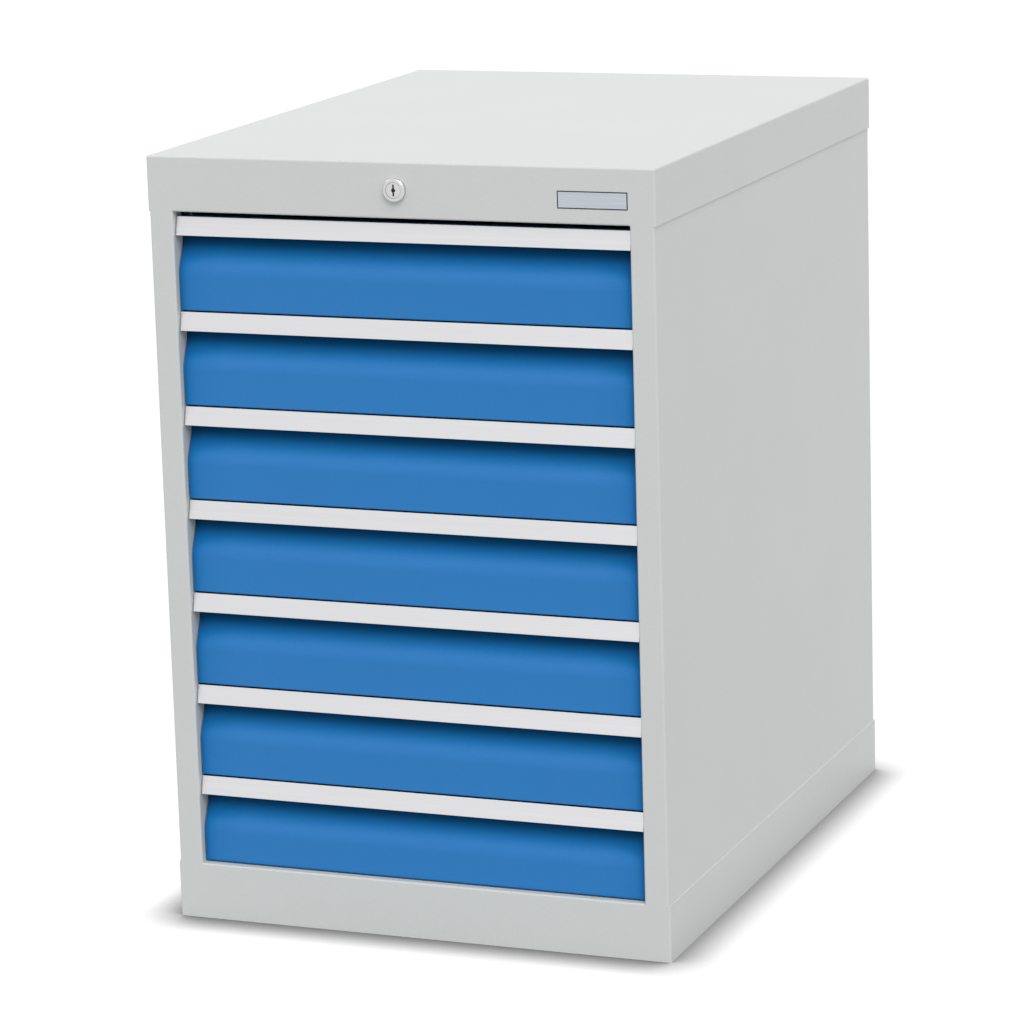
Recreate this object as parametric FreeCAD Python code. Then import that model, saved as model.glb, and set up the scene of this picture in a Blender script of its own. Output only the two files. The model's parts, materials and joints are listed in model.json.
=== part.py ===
import FreeCAD, Part
import math
import os

# Drawer cabinet: a welded sheet-steel housing, full-extension drawers on roller runners and a central lock.
# Millimetres. X runs to the right, Y to the back and Z up. The origin is the middle of the footprint, on the floor.

# Housing
width = 555.0
depth = 736.0
plinth_height = 60.5
fascia_height = 57.5
body_sheet = 1.5
stile_width = 27.5
stile_return = 20.0
rear_flange = 20.0
lip_depth = 14.0
foot_flange = 25.0
floor_drop = 11.0
floor_skirt = 20.0
bend_radius = 0.5

# Drawer stack
drawer_count = 7
drawer_pitch = 100.0
head_gap = 5.5
sill_lap = 4.5

# Drawer front and its handle strip
front_sheet = 1.2
front_side_gap = 1.25
front_foot_gap = 1.0
front_set = 8.0
pocket_set = 24.6
pocket_foot = 19.0
pocket_knee = 56.2
knee_radius = 30.0
flange_drop = 2.0
strip_top_set = 7.8
strip_foot_set = 3.8
strip_drop = 19.7
strip_thickness = 2.0
strip_web_reach = 20.0
strip_seam = 0.4
strip_edge = 0.6

# Drawer tray
tray_sheet = 1.0
rear_space = 103.0
tray_floor = 7.0
tray_headroom = 12.0
tray_rim = 6.0
divider_pitch = 25.0
divider_slot = 2.0
divider_margin = 14.0

# Runners
travel_short = 7.2
rail_sheet = 1.5
rail_setback = 2.5
rail_height = 24.0
roller_diameter = 22.0
roller_width = 4.9
roller_gap = 0.3
side_gap = 0.8
roller_end = 4.0
carriage_thickness = 2.2
carriage_height = 20.0
stud_diameter = 5.0
stud_head = 1.2
stud_head_diameter = 8.0
stud_fit = 0.05
shoulder_diameter = 9.0

# Slotted uprights
upright_width = 30.0
upright_flange = 10.0
upright_depth = 28.7
upright_inset = 24.0
hook_pitch = 25.0
hook_slot_height = 14.0
hook_height = 8.0
hook_nib = 3.0
hook_gap = 0.3

# Central lock
lock_drop = 28.0
lock_face_diameter = 24.0
lock_face_height = 5.5
lock_bevel = 1.0
lock_body_diameter = 19.0
lock_body_length = 22.0
lock_hole_gap = 0.2
plug_diameter = 16.0
plug_recess = 0.3
plug_tail = 3.0
key_slot_height = 12.0
key_slot_width = 1.8
key_slot_depth = 14.0
key_bulge_diameter = 4.4
nut_across = 26.0
nut_thickness = 5.0
shaft_diameter = 8.0
turning_gap = 0.3
crank_arm = 12.0
crank_angle = 45.0
crank_thickness = 4.0
crank_width = 12.0
pin_diameter = 5.0
pin_slot_gap = 0.6
bar_width = 20.0
bar_thickness = 3.0
bar_setback = 5.0
bar_gap = 2.0
bar_foot = 25.0
bar_head_margin = 6.0
catch_reach = 16.0
catch_width = 20.0
catch_sheet = 1.5
catch_level = 63.0
catch_lip = 13.0
finger_width = 16.0
finger_play = 1.0
finger_room = 1.0
guide_height = 20.0
guide_sheet = 1.5
guide_flange = 18.0
guide_lip = 5.0
guide_level = 88.0
guide_every = 3
hanger_width = 30.0
hanger_set = 45.0
hanger_flange = 18.0

# Name plate, left bare
plate_width = 74.5
plate_height = 18.0
plate_groove = 1.2
plate_margin = 29.0
plate_drop = 33.0
plate_proud = 0.2
plate_backing = 1.2
plate_backing_edge = 2.5

# Rivets of the rear panel
rivet_diameter = 3.2
rivet_head_diameter = 6.5
rivet_head = 1.2
rivet_count = 8

# Planes and levels that follow from the sizes above
half_width = width / 2
outer_bend = bend_radius + body_sheet
front_y = -depth / 2
rear_y = depth / 2
aperture_height = drawer_count * drawer_pitch + head_gap - sill_lap
fascia_z = plinth_height + aperture_height
height = fascia_z + fascia_height
wall_out = half_width - body_sheet
wall_in = wall_out - body_sheet
aperture_half = half_width - stile_width
front_in = front_y + body_sheet
rear_in = rear_y - body_sheet
cap_in = height - body_sheet
floor_z = plinth_height - floor_drop
panel_rear = rear_in - body_sheet
panel_front = panel_rear - body_sheet

front_half = aperture_half - front_side_gap
tray_front = front_y + pocket_set + front_sheet
tray_rear = rear_y - rear_space
tray_length = tray_rear - tray_front
tray_top = drawer_pitch - tray_headroom
drawer_travel = tray_length - travel_short

rail_front = tray_front + rail_setback
rail_rear = tray_rear
channel_half = roller_diameter / 2 + roller_gap
upright_x = wall_in - upright_depth
fixed_rail_x = upright_x - rail_sheet
outer_roller_x = fixed_rail_x - side_gap - roller_width
fixed_rail_edge = outer_roller_x - side_gap
carriage_out = fixed_rail_edge - side_gap
carriage_x = carriage_out - carriage_thickness
inner_rail_edge = carriage_x - side_gap
inner_roller_x = inner_rail_edge - side_gap - roller_width
tray_half = inner_roller_x - side_gap - rail_sheet

lock_z = height - lock_drop
crank_rise = crank_arm * math.sin(math.radians(crank_angle))
pin_x = -crank_arm * math.cos(math.radians(crank_angle))
pin_z = lock_z - crank_rise
bar_y = tray_rear + catch_reach + bar_setback
crank_rear = bar_y - bar_gap
bar_back = bar_y + bar_thickness
bar_lift = 2 * crank_rise


def vector(x, y, z):
    return FreeCAD.Vector(x, y, z)


def box(x0, x1, y0, y1, z0, z1):
    return Part.makeBox(x1 - x0, y1 - y0, z1 - z0, vector(x0, y0, z0))


def rounded_wire(corners, radii):
    """Closed flat wire through the corners, each rounded with its own radius."""
    starts, middles, ends = [], [], []
    for before, corner, after, radius in zip(corners[-1:] + corners, corners, corners[1:] + corners[:1], radii):
        back = (before - corner).normalize()
        ahead = (after - corner).normalize()
        half_angle = back.getAngle(ahead) / 2
        inward = (back + ahead).normalize() if radius else back
        centre = corner + inward * (radius / math.sin(half_angle))
        starts.append(corner + back * (radius / math.tan(half_angle)))
        middles.append(centre - inward * radius)
        ends.append(corner + ahead * (radius / math.tan(half_angle)))
    edges = []
    for start, middle, end, radius, following in zip(starts, middles, ends, radii, starts[1:] + starts[:1]):
        if radius:
            edges.append(Part.Arc(start, middle, end).toShape())
        edges.append(Part.makeLine(end, following))
    return Part.Wire(edges)


def prism(points, run, radii=None):
    corners = [vector(*point) for point in points]
    wire = rounded_wire(corners, radii or [0] * len(corners))
    return Part.Face(wire).extrude(vector(*run))


def along_x(outline, x0, x1, radii=None):
    return prism([(x0, y, z) for y, z in outline], (x1 - x0, 0, 0), radii)


def along_z(outline, z0, z1, radii=None):
    return prism([(x, y, z0) for x, y in outline], (0, 0, z1 - z0), radii)


def rod_x(x0, x1, y, z, diameter):
    return Part.makeCylinder(diameter / 2, x1 - x0, vector(x0, y, z), vector(1, 0, 0))


def rod_y(y0, y1, x, z, diameter):
    return Part.makeCylinder(diameter / 2, y1 - y0, vector(x, y0, z), vector(0, 1, 0))


def join(pieces):
    return pieces[0].fuse(pieces[1:]).removeSplitter()


def mirrored(shape):
    return shape.mirror(vector(0, 0, 0), vector(1, 0, 0))


def both_sides(shape):
    return [shape, mirrored(shape)]


def raised(shape, z):
    return shape.translated(vector(0, 0, z))


def folded(line, sheet):
    """Outline and corner radii of a sheet folded along an open line, with its thickness on the line's right."""
    normals = []
    for (u0, v0), (u1, v1) in zip(line, line[1:]):
        length = math.hypot(u1 - u0, v1 - v0)
        normals.append(((v1 - v0) / length, (u0 - u1) / length))
    offset, near_radii, far_radii = [], [], []
    for (u, v), (a, b), (c, d) in zip(line, normals[:1] + normals, normals + normals[-1:]):
        mitre = sheet / (1 + a * c + b * d)
        offset.append((u + (a + c) * mitre, v + (b + d) * mitre))
        turn = a * d - b * c
        near_radii.append(0 if turn == 0 else bend_radius if turn > 0 else bend_radius + sheet)
        far_radii.append(0 if turn == 0 else bend_radius + sheet if turn > 0 else bend_radius)
    return line + offset[::-1], near_radii + far_radii[::-1]


def folded_along_x(line, sheet, x0, x1):
    outline, radii = folded(line, sheet)
    return along_x(outline, x0, x1, radii)


def folded_along_z(line, sheet, z0, z1):
    outline, radii = folded(line, sheet)
    return along_z(outline, z0, z1, radii)


def slot_base(number):
    """Lowest level of a drawer's place in the stack, counted from the top drawer."""
    return plinth_height - sill_lap + (drawer_count - number) * drawer_pitch


# Housing


def skirt(z0, z1, rounded_top):
    """Block over the whole footprint with the outer radius of bent sheet on its upright corners."""
    block = box(-half_width, half_width, front_y, rear_y, z0, z1)
    edges = [edge for edge in block.Edges
             if edge.BoundBox.ZLength > 1 or (rounded_top and edge.BoundBox.ZMin > z1 - 1)]
    return block.makeFillet(outer_bend, edges)


def aperture_easing(z, rise):
    """What a bend takes off the sharp edge over (rise 1) or under (rise -1) the drawers."""
    arc_y, arc_z = front_y + outer_bend, z + rise * outer_bend
    corner = box(-aperture_half, aperture_half, front_y - 1, arc_y, min(z - rise, arc_z), max(z - rise, arc_z))
    return corner.cut(rod_x(-aperture_half, aperture_half, arc_y, arc_z, 2 * outer_bend))


def top_cap():
    """Inverted tray with the fascia as its front wall, and a lip folded back over the drawers."""
    outer = skirt(fascia_z, height, True)
    hollow = box(-wall_out, wall_out, front_in, rear_in, fascia_z - 1, cap_in)
    lip = box(-wall_in, wall_in, front_in, front_in + lip_depth, fascia_z, fascia_z + body_sheet)
    cap = join([outer.cut(hollow), lip]).cut(aperture_easing(fascia_z, 1))
    lock_hole = rod_y(front_y - 1, front_in + 1, 0, lock_z, lock_body_diameter + 2 * lock_hole_gap)
    return cap.cut(lock_hole).cut(plate_window(front_y - 1, front_in + 1, 0))


def plinth():
    """Welded skirt that the housing stands in, with a foot flange all round and a sill lip in front."""
    outer = skirt(0, plinth_height, False)
    hollow = box(-wall_out, wall_out, front_in, rear_in, body_sheet, plinth_height + 1)
    edge = foot_flange
    window = box(-half_width + edge, half_width - edge, front_y + edge, rear_y - edge, -1, body_sheet + 1)
    sill = box(-wall_in, wall_in, front_in, front_in + lip_depth, plinth_height - body_sheet, plinth_height)
    return join([outer.cut(hollow).cut(window), sill]).cut(aperture_easing(plinth_height, -1))


def side_panel():
    """Right-hand side wall, folded into the front stile and into a flange for the rear panel."""
    wall_line = [(wall_in, front_in), (wall_in, panel_rear), (wall_out - rear_flange, panel_rear)]
    stile_line = [(aperture_half + body_sheet, front_in + stile_return), (aperture_half + body_sheet, front_in),
                  (wall_in, front_in), (wall_in, front_in + stile_return)]
    wall = folded_along_z(wall_line, body_sheet, body_sheet, cap_in)
    stile = folded_along_z(stile_line, body_sheet, plinth_height, fascia_z)
    panel = join([wall, stile])
    for rivet_z in rivet_levels():
        panel = panel.cut(rod_y(panel_rear - 1, rear_in + 1, rivet_x(), rivet_z, rivet_diameter))
    return panel


def rear_panel():
    """Flat sheet riveted to the flanges of both side walls from inside."""
    half = wall_in - bend_radius
    panel = box(-half, half, panel_front, panel_rear, floor_z - floor_skirt, cap_in)
    for side in (-1, 1):
        for rivet_z in rivet_levels():
            panel = panel.cut(rod_y(panel_front - 1, panel_rear + 1, side * rivet_x(), rivet_z, rivet_diameter))
    return panel


def floor_panel():
    """Sheet under the lowest drawer, with flanges folded down against the walls."""
    outer = box(-wall_in, wall_in, front_in, panel_front, floor_z - floor_skirt, floor_z)
    hollow = box(-wall_in + body_sheet, wall_in - body_sheet, front_in + body_sheet, panel_front - body_sheet,
                 floor_z - floor_skirt - 1, floor_z - body_sheet)
    return outer.cut(hollow)


def rivet_x():
    return wall_out - rear_flange / 2


def rivet_levels():
    first = floor_z + foot_flange
    last = fascia_z - foot_flange
    return [first + (last - first) * k / (rivet_count - 1) for k in range(rivet_count)]


def rear_rivets():
    """Blind rivets with a low head outside."""
    rivets = []
    for side in (-1, 1):
        for rivet_z in rivet_levels():
            x = side * rivet_x()
            shank = rod_y(panel_front, rear_in, x, rivet_z, rivet_diameter)
            head = rod_y(rear_in, rear_in + rivet_head, x, rivet_z, rivet_head_diameter)
            rivets.append(join([shank, head]))
    return Part.makeCompound(rivets)


def plate_window(y0, y1, margin):
    """Block over the name plate's place in the fascia, narrowed all round by a margin."""
    x1 = half_width - plate_margin
    z_mid = height - plate_drop
    return box(x1 - plate_width + margin, x1 - margin, y0, y1,
               z_mid - plate_height / 2 + margin, z_mid + plate_height / 2 - margin)


def name_plate():
    """Bare plate that clips into the fascia from behind and leaves a groove round its face."""
    face = plate_window(front_y - plate_proud, front_in, plate_groove)
    backing = plate_window(front_in, front_in + plate_backing, -plate_backing_edge)
    return join([face, backing])


# Drawer fronts and trays, drawn for a place that starts at Z = 0


def drawer_front(foot):
    """Folded front: face rolled back into a sloped finger pocket, rise and top flange, closed at both ends."""
    set_y = front_y + front_set
    pocket_y = front_y + pocket_set
    knee_z = drawer_pitch - pocket_knee
    rise_z = drawer_pitch - pocket_foot
    flange_z = drawer_pitch - flange_drop
    line = [(tray_front, foot), (set_y, foot), (set_y, knee_z), (pocket_y, rise_z), (pocket_y, flange_z),
            (strip_corner(0, strip_thickness)[0] + strip_seam, flange_z)]
    outline, radii = folded(line, front_sheet)
    knee = line.index((set_y, knee_z))
    radii[knee] = knee_radius
    radii[-1 - knee] = knee_radius - front_sheet
    sheet = along_x(outline, -front_half, front_half, radii)
    cheek_outline = [(set_y, foot), (set_y, knee_z), (pocket_y, rise_z), (tray_front, rise_z),
                     (tray_front, foot)]
    cheek = along_x(cheek_outline, front_half - front_sheet, front_half,
                    [front_sheet + bend_radius, knee_radius, 0, 0, 0])
    return join([sheet] + both_sides(cheek))


def strip_corner(along, inward):
    """Point of the handle strip's section, by share of its face from the top edge and by depth behind it."""
    run_y = strip_top_set - strip_foot_set
    slant = math.hypot(run_y, strip_drop)
    y = front_y + strip_top_set - run_y * along + inward * strip_drop / slant
    return y, drawer_pitch - strip_drop * along - inward * run_y / slant


def strip_back(z):
    """Y of the strip's rear face at a level of the drawer's place."""
    y, top = strip_corner(0, strip_thickness)
    return y - (top - z) * (strip_top_set - strip_foot_set) / strip_drop


def handle_strip():
    """Extruded grip strip: a slanted face and a web fixed under the front's top flange."""
    web_top = drawer_pitch - flange_drop
    web_foot = web_top - strip_thickness
    web_rear = front_y + strip_web_reach
    outline = [strip_corner(0, 0), strip_corner(1, 0), strip_corner(1, strip_thickness),
               (strip_back(web_foot), web_foot), (web_rear, web_foot), (web_rear, web_top),
               (strip_back(web_top), web_top), strip_corner(0, strip_thickness)]
    radii = [strip_edge, strip_edge, strip_edge, 0, 0, 0, 0, strip_edge]
    return along_x(outline, -front_half, front_half, radii)


def divider_places(length):
    """Evenly pitched places, centred on a wall of the given length."""
    count = int((length - 2 * divider_margin) / divider_pitch)
    return [(k - count / 2) * divider_pitch for k in range(count + 1)]


def tray():
    """Folded tray with slotted walls, an outward rim on three sides and the lock's catch behind."""
    outer = box(-tray_half, tray_half, tray_front, tray_rear, tray_floor, tray_top)
    hollow = box(-tray_half + tray_sheet, tray_half - tray_sheet, tray_front + tray_sheet,
                 tray_rear - tray_sheet, tray_floor + tray_sheet, tray_top + 1)
    rim_block = box(-tray_half - tray_rim, tray_half + tray_rim, tray_front, tray_rear + tray_rim,
                    tray_top - tray_sheet, tray_top)
    rim_hollow = box(-tray_half, tray_half, tray_front - 1, tray_rear, tray_floor, tray_top + 1)
    shell = join([outer.cut(hollow), rim_block.cut(rim_hollow), catch()])
    slot_foot = tray_floor + divider_margin
    slot_top = tray_top - divider_margin
    cuts = []
    for x in divider_places(2 * tray_half):
        for wall_y in (tray_front, tray_rear - tray_sheet):
            cuts.append(box(x - divider_slot / 2, x + divider_slot / 2, wall_y - 1, wall_y + tray_sheet + 1,
                            slot_foot, slot_top))
    y_mid = (tray_front + tray_rear) / 2
    for y in divider_places(tray_length):
        for wall_x in (-tray_half, tray_half - tray_sheet):
            cuts.append(box(wall_x - 1, wall_x + tray_sheet + 1, y_mid + y - divider_slot / 2,
                            y_mid + y + divider_slot / 2, slot_foot, slot_top))
    spared = box(-catch_width / 2 - 1, catch_width / 2 + 1, tray_rear - tray_sheet - 1, tray_rear + 1,
                 slot_foot - 1, slot_top + 1)
    return shell.cut(Part.makeCompound(cuts).cut(spared))


def catch():
    """Tongue behind the tray with a lip folded down, which the lock bar's finger holds from in front."""
    line = [(tray_rear, catch_level), (tray_rear + catch_reach, catch_level),
            (tray_rear + catch_reach, catch_level - catch_lip)]
    return folded_along_x(line, catch_sheet, -catch_width / 2, catch_width / 2)


# Runners, drawn for a place that starts at Z = 0


def channel(x_web, x_edge):
    """C-shaped rail with its web at x_web and its flanges reaching to x_edge."""
    x0, x1 = min(x_web, x_edge), max(x_web, x_edge)
    outer = box(x0, x1, rail_front, rail_rear, rail_height - channel_half - rail_sheet,
                rail_height + channel_half + rail_sheet)
    step = rail_sheet if x_edge > x_web else -rail_sheet
    h0, h1 = min(x_web + step, x_edge + step), max(x_web + step, x_edge + step)
    hollow = box(h0, h1, rail_front - 1, rail_rear + 1, rail_height - channel_half, rail_height + channel_half)
    return outer.cut(hollow)


def inner_roller_places():
    return [rail_front + roller_diameter / 2 + roller_end,
            rail_rear - drawer_travel / 2 - roller_diameter / 2 - roller_end]


def outer_roller_places():
    return [rail_front + drawer_travel / 2 + roller_diameter / 2 + roller_end,
            rail_rear - roller_diameter / 2 - roller_end]


def carriage():
    """Middle member of a runner: a plate between the two rails, drilled for the roller studs."""
    plate = box(carriage_x, carriage_out, rail_front, rail_rear, rail_height - carriage_height / 2,
                rail_height + carriage_height / 2)
    for y in inner_roller_places() + outer_roller_places():
        plate = plate.cut(rod_x(carriage_x - 1, carriage_out + 1, y, rail_height, stud_diameter + 2 * stud_fit))
    return plate


def roller(x0, x1, y, stud_end):
    """Roller with its shoulder, stud and riveted head; stud_end is the plate's far face."""
    disc = rod_x(x0, x1, y, rail_height, roller_diameter)
    if stud_end > x1:
        shoulder = rod_x(x1, carriage_x, y, rail_height, shoulder_diameter)
        stud = rod_x(x1, stud_end, y, rail_height, stud_diameter)
        head = rod_x(stud_end, stud_end + stud_head, y, rail_height, stud_head_diameter)
    else:
        shoulder = rod_x(carriage_out, x0, y, rail_height, shoulder_diameter)
        stud = rod_x(stud_end, x0, y, rail_height, stud_diameter)
        head = rod_x(stud_end - stud_head, stud_end, y, rail_height, stud_head_diameter)
    return join([disc, shoulder, stud, head])


def rollers():
    """Rollers of the right-hand runner: two in the drawer's rail and two in the fixed rail."""
    inner = [roller(inner_roller_x, inner_roller_x + roller_width, y, carriage_out) for y in inner_roller_places()]
    outer = [roller(outer_roller_x, outer_roller_x + roller_width, y, carriage_x) for y in outer_roller_places()]
    return inner + outer


def upright_places():
    return [rail_front + upright_inset, rail_rear - upright_inset]


def fixed_rail():
    """Rail hooked into both slotted uprights of its side."""
    pieces = [channel(fixed_rail_x + rail_sheet, fixed_rail_edge)]
    tab_end = upright_x + body_sheet + hook_gap + rail_sheet
    for y in upright_places():
        y0, y1 = y - rail_sheet / 2, y + rail_sheet / 2
        z1 = rail_height + hook_slot_height / 2 - hook_gap
        pieces.append(box(upright_x, tab_end, y0, y1, z1 - hook_height, z1))
        pieces.append(box(tab_end - rail_sheet, tab_end, y0, y1, z1 - hook_height - hook_nib, z1))
    return join(pieces)


def uprights():
    """Hat-section posts on the side walls, slotted for the hooks of the rails."""
    first = slot_base(drawer_count) + rail_height
    count = int((fascia_z - hook_slot_height - first) / hook_pitch)
    posts = []
    for y in upright_places():
        near, far = upright_width / 2, upright_width / 2 + upright_flange
        seat = wall_in - body_sheet
        line = [(seat, y - far), (seat, y - near), (upright_x, y - near), (upright_x, y + near), (seat, y + near),
                (seat, y + far)]
        post = folded_along_z(line, body_sheet, floor_z, fascia_z)
        half_slot = rail_sheet / 2 + hook_gap
        slots = [box(upright_x - 1, upright_x + body_sheet + 1, y - half_slot, y + half_slot,
                     first + k * hook_pitch - hook_slot_height / 2, first + k * hook_pitch + hook_slot_height / 2)
                 for k in range(count + 1)]
        posts += both_sides(post.cut(Part.makeCompound(slots)))
    return Part.makeCompound(posts)


# Central lock


def lock_housing():
    """Bevelled face ring and round body of the lock, bored for the plug."""
    face = rod_y(front_y - lock_face_height, front_y, 0, lock_z, lock_face_diameter)
    rim = [edge for edge in face.Edges if edge.BoundBox.YMax < front_y - lock_face_height + 0.01]
    face = face.makeChamfer(lock_bevel, rim)
    body = rod_y(front_y, front_y + lock_body_length, 0, lock_z, lock_body_diameter)
    bore = rod_y(front_y - lock_face_height - 1, front_y + lock_body_length + 1, 0, lock_z,
                 plug_diameter + 2 * turning_gap)
    return join([face, body]).cut(bore)


def lock_nut():
    """Hexagon nut that clamps the lock to the fascia from behind."""
    radius = nut_across / math.sqrt(3)
    corners = [(radius * math.cos(math.radians(60 * k)), front_in, lock_z + radius * math.sin(math.radians(60 * k)))
               for k in range(6)]
    nut = prism(corners, (0, nut_thickness, 0))
    return nut.cut(rod_y(front_in - 1, front_in + nut_thickness + 1, 0, lock_z,
                         lock_body_diameter + 2 * stud_fit))


def lock_plug():
    """Turning plug with an upright key slot."""
    face_y = front_y - lock_face_height + plug_recess
    plug = rod_y(face_y, front_y + lock_body_length + plug_tail, 0, lock_z, plug_diameter)
    slot = box(-key_slot_width / 2, key_slot_width / 2, face_y - 1, face_y + key_slot_depth,
               lock_z - key_slot_height / 2, lock_z + key_slot_height / 2)
    bulge = rod_y(face_y - 1, face_y + key_slot_depth, 0, lock_z, key_bulge_diameter)
    return plug.cut(slot).cut(bulge)


def lock_shaft():
    """Rod from the plug to the crank at the back."""
    start = front_y + lock_body_length + plug_tail
    return rod_y(start, crank_rear - crank_thickness, 0, lock_z, shaft_diameter)


def lock_crank():
    """Crank plate with the pin that lifts the bar; the arm points down and to the left when unlocked."""
    y0 = crank_rear - crank_thickness
    hub = rod_y(y0, crank_rear, 0, lock_z, crank_width + bar_thickness)
    tip = rod_y(y0, crank_rear, pin_x, pin_z, crank_width)
    across_x, across_z = crank_rise / crank_arm, -pin_x / crank_arm
    half = crank_width / 2
    corners = [(x + side * half * across_x, y0, z - side * half * across_z)
               for x, z, side in ((0, lock_z, 1), (pin_x, pin_z, 1), (pin_x, pin_z, -1), (0, lock_z, -1))]
    arm = prism(corners, (0, crank_thickness, 0))
    pin = rod_y(crank_rear, bar_back + bar_gap, pin_x, pin_z, pin_diameter)
    return join([hub, tip, arm, pin])


def finger_top():
    """Top of a bar finger over its drawer's place while unlocked."""
    return catch_level - catch_sheet - bar_lift - finger_room


def lock_bar():
    """Upright bar with a slotted head for the crank pin and one upturned finger for each drawer."""
    half = bar_width / 2
    slot_half = pin_diameter / 2 + pin_slot_gap
    head_foot = pin_z - slot_half - bar_head_margin
    head_top = pin_z + slot_half + bar_head_margin
    slot_left = -crank_arm - slot_half
    slot_right = pin_x + slot_half
    bar = box(-half, half, bar_y, bar_back, slot_base(drawer_count) + bar_foot, head_top)
    head = box(slot_left - bar_head_margin, half, bar_y, bar_back, head_foot, head_top)
    tip_front = tray_rear + catch_reach - catch_sheet - finger_play - bar_thickness
    pieces = [bar, head]
    for number in range(1, drawer_count + 1):
        top = slot_base(number) + finger_top()
        foot = top - (catch_lip - catch_sheet) - bar_thickness
        pieces.append(box(-finger_width / 2, finger_width / 2, tip_front, bar_y, foot, foot + bar_thickness))
        pieces.append(box(-finger_width / 2, finger_width / 2, tip_front, tip_front + bar_thickness, foot, top))
    slot = box(slot_left, slot_right, bar_y - 1, bar_back + 1, pin_z - slot_half, pin_z + slot_half)
    return join(pieces).cut(slot)


def guide(z0):
    """Bracket from the rear panel that the lock bar slides in."""
    gap = turning_gap
    side_in = bar_width / 2 + gap
    side_out = side_in + guide_sheet
    front = bar_y - gap - guide_sheet
    stop = bar_back + gap
    z1 = z0 + guide_height
    right = [box(side_in, side_out, front, panel_front, z0, z1),
             box(side_out, side_out + guide_flange, panel_front - guide_sheet, panel_front, z0, z1),
             box(side_in - guide_lip, side_in, front, front + guide_sheet, z0, z1)]
    left = [mirrored(piece) for piece in right]
    back = box(-side_in, side_in, stop, stop + guide_sheet, z0, z1)
    return join(right + left + [back])


def shaft_hanger():
    """Bracket under the cap that carries the rear end of the lock's shaft."""
    y0 = crank_rear - hanger_set
    line = [(y0, lock_z - shaft_diameter - guide_sheet), (y0, cap_in), (y0 + hanger_flange, cap_in)]
    plate = folded_along_x(line, guide_sheet, -hanger_width / 2, hanger_width / 2)
    return plate.cut(rod_y(y0 - 1, y0 + guide_sheet + 1, 0, lock_z, shaft_diameter + 2 * turning_gap))


def lock_guides():
    brackets = [guide(slot_base(number) + guide_level) for number in range(1, drawer_count + 1, guide_every)]
    return Part.makeCompound(brackets + [shaft_hanger()])


def housing_nodes():
    right_wall = side_panel()
    rail = fixed_rail()
    bases = [slot_base(number) for number in range(1, drawer_count + 1)]
    return {
        "top_cap": top_cap(),
        "left_side_panel": mirrored(right_wall),
        "right_side_panel": right_wall,
        "rear_panel": rear_panel(),
        "rear_rivets": rear_rivets(),
        "floor_panel": floor_panel(),
        "plinth": plinth(),
        "slotted_uprights": uprights(),
        "left_fixed_rails": Part.makeCompound([raised(mirrored(rail), base) for base in bases]),
        "right_fixed_rails": Part.makeCompound([raised(rail, base) for base in bases]),
        "name_plate": name_plate(),
    }


def lock_nodes():
    return {
        "lock_housing": lock_housing(),
        "lock_nut": lock_nut(),
        "lock_plug": lock_plug(),
        "lock_shaft": lock_shaft(),
        "lock_crank": lock_crank(),
        "lock_bar": lock_bar(),
        "lock_guides": lock_guides(),
    }


def drawer_nodes():
    """Every drawer's pieces; only the lowest front differs, because it ends at the plinth's sill."""
    tray_shape = tray()
    strip = handle_strip()
    rails = both_sides(channel(tray_half, inner_rail_edge))
    carriages = both_sides(carriage())
    all_rollers = [side for shape in rollers() for side in both_sides(shape)]
    nodes = {}
    for number in range(1, drawer_count + 1):
        base = slot_base(number)
        foot = max(plinth_height - base, 0) + front_foot_gap
        name = f"drawer_{number}_"
        nodes[name + "tray"] = raised(tray_shape, base)
        nodes[name + "front"] = raised(drawer_front(foot), base)
        nodes[name + "handle"] = raised(strip, base)
        nodes[name + "rails"] = raised(Part.makeCompound(rails), base)
        nodes[name + "carriages"] = raised(Part.makeCompound(carriages), base)
        nodes[name + "rollers"] = raised(Part.makeCompound(all_rollers), base)
    return nodes


os.makedirs("parts", exist_ok=True)
for node_name, shape in {**housing_nodes(), **lock_nodes(), **drawer_nodes()}.items():
    shape.exportStep(f"parts/{node_name}.step")
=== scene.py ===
"""Finishes and small fittings of a seven-drawer steel cabinet, with its studio stage."""

import json
import math

import bmesh
import bpy
from bpy.props import FloatProperty, FloatVectorProperty, IntProperty, PointerProperty
from mathutils import Matrix, Vector

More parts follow.
